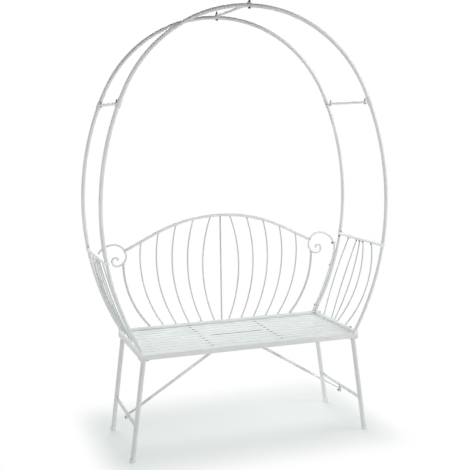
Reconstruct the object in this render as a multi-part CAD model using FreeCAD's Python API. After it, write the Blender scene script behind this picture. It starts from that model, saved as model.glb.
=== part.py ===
import FreeCAD, Part
import math
import os

from FreeCAD import Vector

# Arbour seat: a slatted steel bench with two arms and a back, under a tall round double arch.
# Millimetres. X runs along the seat, -Y is the front, Z is up, and the origin is on the floor
# under the middle of the seat. Round tubes, flat bars and square bars, welded into groups that
# are bolted together. Right-hand pieces are modelled and their left-hand twins are mirrored.

# Seat
seat_length = 960.0
seat_depth = 430.0
seat_height = 440.0
rail_width = 15.0
rail_height = 20.0
bar_wall = 1.5
slat_count = 10
slat_gap = 8.0
slat_margin = 2.0
slat_thickness = 2.5
cross_bar_place = 155.0
cross_bar_width = 15.0
cross_bar_height = 6.0

# Bracket under the middle of the slats
bracket_width = 30.0
bracket_thickness = 3.0
bracket_drop = 22.0
bracket_web_half = 44.0
bracket_slope_run = 7.0
bracket_flange = 38.0

# Legs
leg_diameter = 20.0
leg_wall = 1.5
leg_inset = 16.0
leg_splay = 57.0
leg_plate_size = 36.0
leg_plate_thickness = 3.0
foot_diameter = 27.0
foot_height = 16.0
foot_dome_diameter = 29.2
foot_dome_middle = 7.0
foot_sole = 3.0
stretcher_height = 145.0
stretcher_diameter = 14.0

# Braces and the tabs that hold their lower ends
tab_thickness = 3.0
tab_width = 20.0
tab_bolt_drop = 24.0
brace_diameter = 12.0
brace_pad_thickness = 4.0
brace_pad_width = 17.0
brace_bend_clearance = 1.5
brace_upper_bolt = 24.0
brace_upper_bend = 18.0
brace_flat_run = 55.0
brace_taper_run = 35.0

# Arms
base_bar_size = 15.0
arm_height = 824.0
arm_bar_width = 18.0
arm_bar_height = 12.0
post_diameter = 14.0
post_wall = 1.5
arm_rod_diameter = 7.0
arm_rod_inner_place = 30.0
arm_rod_outer_inset = 97.5
arm_rod_bows = (0.0, 38.0, 46.0)
arm_bolt_inset = 55.0

# Arch
arch_height = 1808.0
arch_top_radius = 561.0
arch_top_half_angle = math.radians(64.6)
arch_diameter = 16.0
arch_wall = 1.5
shoulder_height = 1430.0
socket_diameter = 20.0
socket_length = 36.0
socket_clearance = 0.25
joint_gap = 1.0
spigot_length = 40.0
spigot_clearance = 0.3
spigot_screw_rise = 6.0

# Ties between the front and rear arch, with flat drilled ends, and the lugs that carry two of them
tie_diameter = 12.0
tie_pad_width = 16.0
tie_pad_thickness = 4.0
tie_flat_run = 14.0
tie_taper_run = 16.0
tie_bolt_inset = 40.0
lug_width = 16.0
lug_thickness = 4.0

# Back
back_height = 937.0
back_rail_diameter = 13.0
back_rail_wall = 1.5
crown_half_width = 310.0
crown_meeting_angle = math.radians(153.5)
back_rod_diameter = 7.0
back_rod_count = 5
back_rod_foot_start = 36.0
back_rod_foot_inset = 194.5
back_rod_top_start = 45.0
back_rod_top_inset = 103.5
back_rod_bow = 0.095
end_rod_diameter = 10.0
end_rod_foot_inset = 133.5
end_rod_top_angle = math.radians(228.0)
upright_diameter = 10.0
upright_clearance = 0.3
scroll_drop = 94.0
scroll_radii = (80.0, 55.0, 41.0, 22.0, 16.0, 10.0)
scroll_end_angle = math.radians(205.0)
back_bolt_rises = (20.0, 210.0)
scroll_bolt_rise = 45.0
scroll_bolt_standoff = 2.0
back_bolt_reach = 6.0
spacer_diameter = 9.0

# Fasteners: shank diameter, distance across the flats, head height and, where one is used, nut height
BOLT = {"shank": 6.0, "flats": 10.0, "head": 4.0, "nut": 5.0}
SMALL_BOLT = {"shank": 5.0, "flats": 8.0, "head": 3.5}
screw_head_diameter = 8.4
screw_head_height = 2.6
screw_length = 9.0
hole_clearance = 0.4
thread_end = 3.0
arch_thread_end = 9.0
nut_clearance = 0.1

# Gap left where a round surface meets another piece
weld_gap = 0.3
drain_hole = 4.0

# Places that several pieces share
rail_x = seat_length / 2 - rail_width / 2
rail_y = seat_depth / 2 - rail_width / 2
seat_underside = seat_height - rail_height
slat_underside = seat_height - slat_thickness
base_bar_top = seat_height + base_bar_size
arm_bar_underside = arm_height - arm_bar_height
arm_bolt_place = seat_depth / 2 - arm_bolt_inset
arm_rod_places = (0.0, arm_rod_inner_place, rail_y - arm_rod_outer_inset)
scroll_start_height = arm_height - scroll_drop
scroll_bolt_height = scroll_start_height + scroll_bolt_rise
leg_top_x = seat_length / 2 - leg_inset
leg_y = seat_depth / 2 - leg_inset
leg_top = seat_underside - leg_plate_thickness
X, Y, Z = Vector(1, 0, 0), Vector(0, 1, 0), Vector(0, 0, 1)

nodes = {}


# General shapes
def box(x0, x1, y0, y1, z0, z1):
    return Part.makeBox(x1 - x0, y1 - y0, z1 - z0, Vector(x0, y0, z0))


def rod(start, end, diameter):
    """Round bar between two points."""
    return Part.makeCylinder(diameter / 2, (end - start).Length, start, end - start)


def mirrored(shape, normal=X):
    return shape.mirror(Vector(0, 0, 0), normal)


def fused(shapes):
    whole = shapes[0] if len(shapes) == 1 else shapes[0].multiFuse(shapes[1:]).removeSplitter()
    return whole.Solids[0] if len(whole.Solids) == 1 else whole


def group(shapes):
    """Separate solids that share one node."""
    return Part.makeCompound([solid for shape in shapes for solid in shape.Solids])


def four_corners(shape):
    """The same piece at both ends and at the front and back."""
    pair = [shape, mirrored(shape)]
    return pair + [mirrored(piece, Y) for piece in pair]


def disc(centre, normal, diameter, wall=0.0):
    face = Part.Face(Part.Wire(Part.makeCircle(diameter / 2, centre, normal)))
    if wall == 0.0:
        return face
    return face.cut(Part.Face(Part.Wire(Part.makeCircle(diameter / 2 - wall, centre, normal))))


def arc_bar(centre, y, radius, start, end, diameter, wall=0.0):
    """Round bar or tube bent to an arc in an upright plane; angles turn from +X towards +Z."""
    section_centre = Vector(centre[0] + radius * math.cos(start), y, centre[1] + radius * math.sin(start))
    section = disc(section_centre, Vector(-math.sin(start), 0, math.cos(start)), diameter, wall)
    turned = section.revolve(Vector(centre[0], y, centre[1]), -Y, math.degrees(end - start))
    return turned.Solids[0]


def bowed_rod(foot, middle, top, diameter, extra=12.0):
    """Round bar on the arc through three points, a little longer at both ends."""
    arc = Part.Arc(foot, middle, top).toShape()
    centre, axis, radius = arc.Curve.Center, arc.Curve.Axis, arc.Curve.Radius
    turn = arc.LastParameter - arc.FirstParameter
    spare = extra / radius
    section = disc(foot, arc.tangentAt(arc.FirstParameter), diameter)
    section.rotate(centre, axis, -math.degrees(spare))
    return section.revolve(centre, axis, math.degrees(turn + 2 * spare)).Solids[0]


def between_heights(shape, low, high):
    """The part of a shape between two level planes."""
    reach = 2 * arch_height
    return shape.common(box(-reach, reach, -reach, reach, low, high)).Solids[0]


def box_tube(x0, x1, y0, y1, z0, z1, wall, drain):
    """Square or rectangular tube with closed ends and a drain hole in its underside."""
    cavity = box(x0 + wall, x1 - wall, y0 + wall, y1 - wall, z0 + wall, z1 - wall)
    hole = Part.makeCylinder(drain_hole / 2, 2 * wall, Vector(drain[0], drain[1], z0 - wall / 2))
    return box(x0, x1, y0, y1, z0, z1).cut(cavity).cut(hole)


def hexagon(base, axis, flats, height):
    """Hexagonal prism for a bolt head or a nut."""
    radius = flats / math.sqrt(3)
    turn = FreeCAD.Rotation(Z, axis)
    corners = [turn.multVec(Vector(radius * math.cos(k * math.pi / 3), radius * math.sin(k * math.pi / 3), 0))
               for k in range(6)]
    outline = Part.makePolygon([base + corner for corner in corners + corners[:1]])
    length = Vector(axis)
    length.normalize()
    return Part.Face(outline).extrude(length * height)


def bolt(seat, axis, grip, kind, spare):
    """Hexagon bolt whose head sits at a point; the shank runs along the axis past its nut."""
    direction = Vector(axis)
    direction.normalize()
    head = hexagon(seat - direction * kind["head"], direction, kind["flats"], kind["head"])
    shank = rod(seat - direction, seat + direction * (grip + kind["nut"] + spare), kind["shank"])
    return fused([head, shank])


def nut(seat, axis, kind):
    direction = Vector(axis)
    direction.normalize()
    bore = kind["shank"] + 2 * nut_clearance
    blank = hexagon(seat, direction, kind["flats"], kind["nut"])
    return blank.cut(rod(seat - direction, seat + direction * (kind["nut"] + 1), bore))


def drill(shape, start, end, kind):
    """Clearance hole for a bolt through a shape."""
    return shape.cut(rod(start, end, kind["shank"] + hole_clearance))


def bent_strip(points, thickness, width):
    """Flat bar bent along points (x, z); the points run down the middle of its thickness."""
    offsets = []
    for k, point in enumerate(points):
        before = points[max(k - 1, 0)]
        after = points[min(k + 1, len(points) - 1)]
        first = math.atan2(point[1] - before[1], point[0] - before[0]) if k else None
        last = math.atan2(after[1] - point[1], after[0] - point[0]) if k < len(points) - 1 else None
        first = last if first is None else first
        last = first if last is None else last
        half_turn = (last - first + math.pi) % (2 * math.pi) - math.pi
        middle = first + half_turn / 2
        reach = thickness / 2 / math.cos(half_turn / 2)
        offsets.append((-math.sin(middle) * reach, math.cos(middle) * reach))
    upper = [Vector(p[0] + o[0], -width / 2, p[1] + o[1]) for p, o in zip(points, offsets)]
    lower = [Vector(p[0] - o[0], -width / 2, p[1] - o[1]) for p, o in zip(points, offsets)]
    outline = Part.makePolygon(upper + lower[::-1] + upper[:1])
    return Part.Face(outline).extrude(Y * width)


def pressed_taper(full, flat, wide, thin, sizes):
    """Change from a round bar at one point to its flat end at another; wide and thin are directions."""
    diameter, width, thickness = sizes
    corners = [(1, 1), (-1, 1), (-1, -1), (1, -1)]
    corner = diameter / 2 / math.sqrt(2)
    around = [full + wide * (a * corner) + thin * (b * corner) for a, b in corners]
    sides = [full + thin * (diameter / 2), full - wide * (diameter / 2),
             full - thin * (diameter / 2), full + wide * (diameter / 2)]
    ring = [Part.Arc(first, side, last).toShape()
            for first, side, last in zip(around, sides, around[1:] + around[:1])]
    flat_corners = [flat + wide * (a * width / 2) + thin * (b * thickness / 2) for a, b in corners]
    return Part.makeLoft([Part.Wire(ring), Part.makePolygon(flat_corners + flat_corners[:1])], True, True)


# The line of the arch: one arc up each side and one arc over the top, which meet without a kink.
# A place on it is its distance along the line from the foot, which stands on the arm's base bar.
top_centre = (0.0, arch_height - arch_top_radius)
meeting_angle = math.pi / 2 - arch_top_half_angle
meeting = (arch_top_radius * math.cos(meeting_angle),
           top_centre[1] + arch_top_radius * math.sin(meeting_angle))
foot_gap = (rail_x - meeting[0], base_bar_top - meeting[1])
side_radius = -(foot_gap[0] ** 2 + foot_gap[1] ** 2) / 2 / (
    foot_gap[0] * math.cos(meeting_angle) + foot_gap[1] * math.sin(meeting_angle))
side_centre = (meeting[0] - side_radius * math.cos(meeting_angle),
               meeting[1] - side_radius * math.sin(meeting_angle))
foot_angle = math.asin((base_bar_top - side_centre[1]) / side_radius)
side_run = side_radius * (meeting_angle - foot_angle)
arch_run = side_run + arch_top_radius * arch_top_half_angle


def along_arch(height):
    """Distance along the arch of the point at a height."""
    if height <= meeting[1]:
        return side_radius * (math.asin((height - side_centre[1]) / side_radius) - foot_angle)
    rise = math.asin((height - top_centre[1]) / arch_top_radius)
    return side_run + arch_top_radius * (rise - meeting_angle)


def arch_point(place, y=0.0):
    if place <= side_run:
        angle = foot_angle + place / side_radius
        return Vector(side_centre[0] + side_radius * math.cos(angle), y,
                      side_centre[1] + side_radius * math.sin(angle))
    angle = meeting_angle + (place - side_run) / arch_top_radius
    return Vector(arch_top_radius * math.cos(angle), y,
                  top_centre[1] + arch_top_radius * math.sin(angle))


def arch_bar(start, end, diameter, wall=0.0):
    """Bar or tube along the arch between two places."""
    pieces = []
    if start < side_run:
        stop = min(end, side_run)
        pieces.append(arc_bar(side_centre, rail_y, side_radius, foot_angle + start / side_radius,
                              foot_angle + stop / side_radius, diameter, wall))
    if end > side_run:
        begin = max(start, side_run)
        pieces.append(arc_bar(top_centre, rail_y, arch_top_radius,
                              meeting_angle + (begin - side_run) / arch_top_radius,
                              meeting_angle + (end - side_run) / arch_top_radius, diameter, wall))
    return fused(pieces)


# Places of the joints along the arch
socket_middle = along_arch(shoulder_height)
spigot_screw_place = along_arch(arm_height) + spigot_screw_rise


# Seat frame, slats and cross bars
def leg_screw_places():
    """Screw centres under one corner: one in the side rail and one in the front rail."""
    step = (leg_diameter + screw_head_diameter) / 2
    return [(rail_x, leg_y - step), (leg_top_x - step, rail_y)]


def make_seat():
    half_length, half_depth = seat_length / 2, seat_depth / 2
    inner_x, inner_y = half_length - rail_width, half_depth - rail_width
    side_hole, long_hole = leg_screw_places()
    screw_top = seat_underside + screw_length
    long_rail = box_tube(-half_length, half_length, inner_y, half_depth, seat_underside, seat_height,
                         bar_wall, (0, rail_y))
    for x in (long_hole[0], -long_hole[0]):
        long_rail = drill(long_rail, Vector(x, rail_y, leg_top), Vector(x, rail_y, screw_top), SMALL_BOLT)
    side_rail = box_tube(inner_x, half_length, -inner_y, inner_y, seat_underside, seat_height,
                         bar_wall, (rail_x, 0))
    for y in (side_hole[1], -side_hole[1]):
        side_rail = drill(side_rail, Vector(rail_x, y, leg_top), Vector(rail_x, y, screw_top), SMALL_BOLT)
    for y in (arm_bolt_place, -arm_bolt_place):
        side_rail = drill(side_rail, Vector(rail_x, y, seat_underside - 1),
                          Vector(rail_x, y, seat_height + 1), BOLT)
    nodes["seat_rear_rail"] = long_rail
    nodes["seat_front_rail"] = mirrored(long_rail, Y)
    nodes["seat_right_rail"] = side_rail
    nodes["seat_left_rail"] = mirrored(side_rail)

    slats = []
    slat_width = (2 * (inner_y - slat_margin) - (slat_count - 1) * slat_gap) / slat_count
    for k in range(slat_count):
        edge = slat_margin - inner_y + k * (slat_width + slat_gap)
        slats.append(box(-inner_x, inner_x, edge, edge + slat_width, slat_underside, seat_height))
    nodes["seat_slats"] = group(slats)

    cross_bar = box(cross_bar_place - cross_bar_width / 2, cross_bar_place + cross_bar_width / 2,
                    -inner_y, inner_y, slat_underside - cross_bar_height, slat_underside)
    nodes["seat_right_cross_bar"] = cross_bar
    nodes["seat_left_cross_bar"] = mirrored(cross_bar)


# Bracket under the slats: a flat bar bent like a hat, welded up by its two ends
bracket_web = slat_underside - bracket_drop - bracket_thickness


def make_bracket():
    top = slat_underside - bracket_thickness / 2
    web = bracket_web + bracket_thickness / 2
    shoulder = bracket_web_half + bracket_slope_run
    right = [(bracket_web_half, web), (shoulder, top), (shoulder + bracket_flange, top)]
    points = [(-x, z) for x, z in right[::-1]] + right
    bracket = bent_strip(points, bracket_thickness, bracket_width)
    for x in (brace_upper_bolt, -brace_upper_bolt):
        bracket = drill(bracket, Vector(x, 0, bracket_web - 1), Vector(x, 0, slat_underside), BOLT)
    nodes["brace_bracket"] = bracket


# End frames: two splayed legs, their plates and feet, the stretcher and its tab
def leg_axis(height):
    """Centre of the right rear leg at a height."""
    return Vector(leg_top_x + leg_splay * (leg_top - height) / leg_top, leg_y, height)


def leg_bar(diameter):
    return rod(leg_axis(-leg_diameter), leg_axis(leg_top + leg_diameter), diameter)


def make_legs():
    leg = leg_bar(leg_diameter).cut(leg_bar(leg_diameter - 2 * leg_wall))
    leg = between_heights(leg, foot_sole, leg_top)
    centre = leg_axis(foot_sole)
    foot = Part.makeCylinder(foot_diameter / 2, foot_height, Vector(centre.x, centre.y, 0))
    foot = foot.common(Part.makeSphere(foot_dome_diameter / 2, Vector(centre.x, centre.y, foot_dome_middle)))
    pocket = between_heights(leg_bar(leg_diameter + 2 * weld_gap), foot_sole, leg_top)
    foot = foot.cut(pocket)

    corner_x, corner_y = seat_length / 2, seat_depth / 2
    plate = box(corner_x - leg_plate_size, corner_x, corner_y - leg_plate_size, corner_y,
                leg_top, seat_underside)
    screws = []
    for x, y in leg_screw_places():
        plate = drill(plate, Vector(x, y, leg_top - 1), Vector(x, y, seat_underside + 1), SMALL_BOLT)
        seat = Vector(x, y, leg_top)
        head = rod(seat - Z * screw_head_height, seat, screw_head_diameter)
        screws.append(fused([head, rod(seat - Z, seat + Z * screw_length, SMALL_BOLT["shank"])]))

    names = ("right_rear", "left_rear", "right_front", "left_front")
    for name, piece in zip(names, four_corners(leg)):
        nodes[name + "_leg"] = piece
    nodes["foot_caps"] = group(four_corners(foot))
    nodes["leg_plates"] = group(four_corners(plate))
    nodes["leg_screws"] = group([piece for screw in screws for piece in four_corners(screw)])


def make_stretchers():
    middle = leg_axis(stretcher_height)
    start, end = Vector(middle.x, -leg_y, middle.z), Vector(middle.x, leg_y, middle.z)
    leg_space = leg_bar(leg_diameter + 2 * weld_gap)
    stretcher = rod(start, end, stretcher_diameter).cut(rod(start, end, stretcher_diameter - 2 * leg_wall))
    stretcher = stretcher.cut(leg_space).cut(mirrored(leg_space, Y))
    nodes["right_stretcher"] = stretcher
    nodes["left_stretcher"] = mirrored(stretcher)

    bolt_height = stretcher_height - tab_bolt_drop
    inner, outer = middle.x - tab_thickness / 2, middle.x + tab_thickness / 2
    tab = box(inner, outer, -tab_width / 2, tab_width / 2, bolt_height, stretcher_height)
    tab = tab.fuse(rod(Vector(inner, 0, bolt_height), Vector(outer, 0, bolt_height), tab_width))
    tab = tab.removeSplitter().cut(rod(start, end, stretcher_diameter + 2 * weld_gap))
    tab = drill(tab, Vector(inner - 1, 0, bolt_height), Vector(outer + 1, 0, bolt_height), BOLT)
    nodes["brace_tabs"] = group([tab, mirrored(tab)])


# Braces: round bar, pressed flat at both ends and bent to lie on the tab and on the bracket
def make_braces():
    bolt_height = stretcher_height - tab_bolt_drop
    tab_inner = leg_axis(stretcher_height).x - tab_thickness / 2
    pad_x = tab_inner - brace_pad_thickness / 2
    pad_z = bracket_web - brace_pad_thickness / 2
    low_bend = Vector(pad_x, 0, bolt_height + BOLT["flats"] / math.sqrt(3) + brace_bend_clearance)
    high_bend = Vector(brace_upper_bolt + brace_upper_bend, 0, pad_z)
    along = high_bend - low_bend
    along.normalize()
    across = Y.cross(along)

    def flat_end(pad_end, bend, direction):
        stop = bend + direction * brace_flat_run
        points = [(p.x, p.z) for p in (pad_end, bend, stop)]
        return bent_strip(points, brace_pad_thickness, brace_pad_width)

    def taper(bend, direction):
        flat = bend + direction * brace_flat_run
        sizes = (brace_diameter, brace_pad_width, brace_pad_thickness)
        return pressed_taper(flat + direction * brace_taper_run, flat, Y, across, sizes)

    bar_start = low_bend + along * (brace_flat_run + brace_taper_run)
    bar_end = high_bend - along * (brace_flat_run + brace_taper_run)
    low_pad = rod(Vector(pad_x - brace_pad_thickness / 2, 0, bolt_height),
                  Vector(pad_x + brace_pad_thickness / 2, 0, bolt_height), brace_pad_width)
    high_pad = rod(Vector(brace_upper_bolt, 0, pad_z - brace_pad_thickness / 2),
                   Vector(brace_upper_bolt, 0, pad_z + brace_pad_thickness / 2), brace_pad_width)
    brace = fused([rod(bar_start, bar_end, brace_diameter), taper(low_bend, along), taper(high_bend, -along),
                   flat_end(Vector(pad_x, 0, bolt_height), low_bend, along),
                   flat_end(Vector(brace_upper_bolt, 0, pad_z), high_bend, -along), low_pad, high_pad])
    brace = drill(brace, Vector(pad_x - 5, 0, bolt_height), Vector(pad_x + 5, 0, bolt_height), BOLT)
    brace = drill(brace, Vector(brace_upper_bolt, 0, pad_z - 5), Vector(brace_upper_bolt, 0, pad_z + 5), BOLT)
    nodes["right_brace"] = brace
    nodes["left_brace"] = mirrored(brace)

    tab_grip = tab_thickness + brace_pad_thickness
    tab_seat = Vector(tab_inner + tab_thickness, 0, bolt_height)
    web_grip = bracket_thickness + brace_pad_thickness
    web_seat = Vector(brace_upper_bolt, 0, bracket_web - brace_pad_thickness)
    bolts = [bolt(tab_seat, -X, tab_grip, BOLT, thread_end), bolt(web_seat, Z, web_grip, BOLT, thread_end)]
    nuts = [nut(tab_seat - X * tab_grip, -X, BOLT), nut(web_seat + Z * web_grip, Z, BOLT)]
    nodes["brace_bolts"] = group(bolts + [mirrored(piece) for piece in bolts])
    return nuts + [mirrored(piece) for piece in nuts]


# Arms: base bar, two posts, arm bar and five rods that lean out with the arch
arm_bar_x = arch_point(along_arch(arm_height - arm_bar_height / 2)).x


def make_arms():
    half = base_bar_size / 2
    base_bar = box_tube(rail_x - half, rail_x + half, -seat_depth / 2, seat_depth / 2, seat_height,
                        base_bar_top, bar_wall, (rail_x, 0))
    for y in (arm_bolt_place, -arm_bolt_place):
        base_bar = drill(base_bar, Vector(rail_x, y, seat_height - 1),
                         Vector(rail_x, y, base_bar_top + 1), BOLT)

    post = arch_bar(-post_diameter, along_arch(arm_height), post_diameter, post_wall)
    rear_post = between_heights(post, base_bar_top, arm_bar_underside)
    front_post = mirrored(rear_post, Y)
    for start, end in back_bolt_lines():
        rear_post = drill(rear_post, start, end, SMALL_BOLT)

    reach = rail_y + arch_diameter / 2
    arm_bar = box_tube(arm_bar_x - arm_bar_width / 2, arm_bar_x + arm_bar_width / 2, -reach, reach,
                       arm_bar_underside, arm_height, bar_wall, (arm_bar_x, arm_rod_places[2]))

    rods = []
    for place, bow in zip(arm_rod_places, arm_rod_bows):
        for side in ((1,) if place == 0 else (1, -1)):
            middle = arch_point(along_arch((base_bar_top + arm_bar_underside) / 2), side * (place + bow))
            ends = Vector(0, side * place - middle.y, 0)
            foot = arch_point(along_arch(base_bar_top), middle.y) + ends
            top = arch_point(along_arch(arm_bar_underside), middle.y) + ends
            arm_rod = bowed_rod(foot, middle, top, arm_rod_diameter)
            rods.append(between_heights(arm_rod, base_bar_top, arm_bar_underside))

    for side, turn in (("right", lambda shape: shape), ("left", mirrored)):
        nodes[side + "_arm_base_bar"] = turn(base_bar)
        nodes[side + "_arm_front_post"] = turn(front_post)
        nodes[side + "_arm_rear_post"] = turn(rear_post)
        nodes[side + "_arm_bar"] = turn(arm_bar)
        nodes[side + "_arm_rods"] = turn(group(rods))

    seat = Vector(rail_x, arm_bolt_place, base_bar_top)
    grip = base_bar_size + rail_height
    nodes["arm_bolts"] = group(four_corners(bolt(seat, -Z, grip, BOLT, thread_end)))
    return four_corners(nut(seat - Z * grip, -Z, BOLT))


# Back: uprights that follow the rear posts and end in scrolls, two rails and thirteen rods
upright_radius = side_radius - post_diameter / 2 - upright_diameter / 2 - upright_clearance
scroll_start = math.asin((scroll_start_height - side_centre[1]) / upright_radius)


def scroll_arcs():
    """Centre, radius, first and last angle of each arc of the right scroll, from outside to inside."""
    quarter = math.pi / 2
    lean = upright_radius - scroll_radii[0]
    centre = (side_centre[0] + lean * math.cos(scroll_start), side_centre[1] + lean * math.sin(scroll_start))
    arcs = [(centre, scroll_radii[0], scroll_start, quarter)]
    for k, (previous, radius) in enumerate(zip(scroll_radii, scroll_radii[1:])):
        angle = quarter * (k + 1)
        shift = previous - radius
        centre = (centre[0] + shift * math.cos(angle), centre[1] + shift * math.sin(angle))
        last = angle + quarter
        if k == len(scroll_radii) - 2:
            last = angle - quarter + scroll_end_angle
        arcs.append((centre, radius, angle, last))
    return arcs


def scroll_point(height):
    """Point on the outer side of the scroll's first arc at a height."""
    centre, radius, start, end = scroll_arcs()[0]
    return Vector(centre[0] + math.sqrt(radius ** 2 - (height - centre[1]) ** 2), rail_y, height)


def upright_bar(diameter):
    """The whole right upright: the part along the post and every arc of the scroll."""
    start = foot_angle - diameter / upright_radius
    pieces = [arc_bar(side_centre, rail_y, upright_radius, start, scroll_start, diameter)]
    pieces += [arc_bar(centre, rail_y, radius, first, last, diameter)
               for centre, radius, first, last in scroll_arcs()]
    return fused(pieces)


def back_bolt_lines():
    """Start and end of each bolt hole of the right side, from inside the upright to the post's axis."""
    lines = []
    for rise in back_bolt_rises:
        angle = math.asin((base_bar_top + rise - side_centre[1]) / side_radius)
        out = Vector(math.cos(angle), 0, math.sin(angle))
        hub = Vector(side_centre[0], rail_y, side_centre[1])
        lines.append((hub + out * (upright_radius - upright_diameter), hub + out * side_radius))
    inside = scroll_point(scroll_bolt_height)
    outside = arch_point(along_arch(scroll_bolt_height), rail_y)
    lines.append((inside - X * upright_diameter, outside))
    return lines


def crown_meeting():
    """Point on the axis of the scroll where the top rail ends."""
    centre, radius = scroll_arcs()[1][:2]
    return Vector(centre[0] + radius * math.cos(crown_meeting_angle), rail_y,
                  centre[1] + radius * math.sin(crown_meeting_angle))


def find_crown_turn():
    """Half of the top rail's bend, such that its straight ends run from the arc to the scrolls."""
    meet = crown_meeting()
    low, high = 0.0, math.radians(80)
    for step in range(50):
        turn = (low + high) / 2
        drop = crown_half_width * math.tan(turn / 2) + (meet.x - crown_half_width) * math.tan(turn)
        if drop < back_height - meet.z:
            low = turn
        else:
            high = turn
    return turn


crown_turn = find_crown_turn()
crown_radius = crown_half_width / math.sin(crown_turn)
crown_centre = (0.0, back_height - crown_radius)


def crown_height(x):
    """Height of the top rail's axis at a distance from the middle."""
    if abs(x) <= crown_half_width:
        return crown_centre[1] + math.sqrt(crown_radius ** 2 - x ** 2)
    return crown_meeting().z + (crown_meeting().x - abs(x)) * math.tan(crown_turn)


def crown_bar(diameter, wall=0.0):
    """The top rail: an arc in the middle and a straight run to the scroll at each end."""
    run = crown_meeting() - Vector(crown_half_width, rail_y, crown_height(crown_half_width))
    straight = disc(crown_meeting(), run, diameter, wall).extrude(-run)
    upright = math.pi / 2
    middle = arc_bar(crown_centre, rail_y, crown_radius, upright - crown_turn, upright + crown_turn,
                     diameter, wall)
    return fused([middle, straight, mirrored(straight)])


def side_bowed(foot, top, bow, diameter):
    """Rod in the plane of the back, bowed outwards by a share of its length."""
    chord = top - foot
    out = Y.cross(chord)
    out.normalize()
    return bowed_rod(foot, (foot + top) * 0.5 + out * (bow * chord.Length), top, diameter)


def make_back():
    upright_space = upright_bar(upright_diameter + 2 * weld_gap)
    both_spaces = upright_space.fuse(mirrored(upright_space))
    upright = between_heights(upright_bar(upright_diameter), base_bar_top, arch_height)
    post_space = arch_bar(0, along_arch(arm_height), post_diameter + 2 * weld_gap)
    inside, outside = back_bolt_lines()[-1]
    spacer = rod(inside + X * upright_diameter, outside, spacer_diameter)
    spacer = spacer.cut(upright_space).cut(post_space)
    for start, end in back_bolt_lines():
        upright = drill(upright, start, end, SMALL_BOLT)
        spacer = drill(spacer, start, end, SMALL_BOLT)
    nodes["right_scroll"] = upright.Solids[0]
    nodes["left_scroll"] = mirrored(upright.Solids[0])
    nodes["back_spacers"] = group([spacer, mirrored(spacer)])

    inner_end = rail_x - base_bar_size / 2 - joint_gap / 2
    half = base_bar_size / 2
    nodes["back_bottom_rail"] = box_tube(-inner_end, inner_end, rail_y - half, rail_y + half,
                                         seat_height, base_bar_top, bar_wall, (0, rail_y))
    crown = crown_bar(back_rail_diameter, back_rail_wall).cut(both_spaces)
    nodes["back_top_rail"] = max(crown.Solids, key=lambda solid: solid.Volume)

    crown_space = crown_bar(back_rail_diameter + 2 * weld_gap)
    rods = [rod(Vector(0, rail_y, base_bar_top), Vector(0, rail_y, back_height), back_rod_diameter)]
    rods[0] = rods[0].cut(crown_space)
    for k in range(back_rod_count):
        share = k / (back_rod_count - 1)
        foot_x = back_rod_foot_start + share * (rail_x - back_rod_foot_inset - back_rod_foot_start)
        top_x = back_rod_top_start + share * (rail_x - back_rod_top_inset - back_rod_top_start)
        foot = Vector(foot_x, rail_y, base_bar_top)
        top = Vector(top_x, rail_y, crown_height(top_x))
        back_rod = side_bowed(foot, top, back_rod_bow, back_rod_diameter).cut(crown_space)
        back_rod = max(back_rod.Solids, key=lambda solid: solid.Volume)
        back_rod = between_heights(back_rod, base_bar_top, back_height)
        rods += [back_rod, mirrored(back_rod)]
    nodes["back_rods"] = group(rods)

    centre, radius = scroll_arcs()[2][:2]
    top = Vector(centre[0] + radius * math.cos(end_rod_top_angle), rail_y,
                 centre[1] + radius * math.sin(end_rod_top_angle))
    foot = Vector(rail_x - end_rod_foot_inset, rail_y, base_bar_top)
    end_rod = side_bowed(foot, top, back_rod_bow, end_rod_diameter)
    end_rod = max(end_rod.cut(upright_space).Solids, key=lambda solid: solid.Volume)
    end_rod = between_heights(end_rod, base_bar_top, back_height)
    nodes["back_end_rods"] = group([end_rod, mirrored(end_rod)])


def make_back_bolts():
    """Bolts from the inside of the back into threads in the near walls of the posts."""
    bolts = []
    for start, end in back_bolt_lines():
        direction = end - start
        direction.normalize()
        standoff = scroll_bolt_standoff if abs(direction.z) < 1e-9 else 0.0
        head_seat = start + direction * (upright_diameter / 2 - standoff)
        tip = end - direction * (post_diameter / 2 - back_bolt_reach)
        head = hexagon(head_seat - direction * SMALL_BOLT["head"], direction, SMALL_BOLT["flats"],
                       SMALL_BOLT["head"])
        bolts.append(fused([head, rod(head_seat - direction, tip, SMALL_BOLT["shank"])]))
    nodes["back_bolts"] = group(bolts + [mirrored(piece) for piece in bolts])


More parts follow.
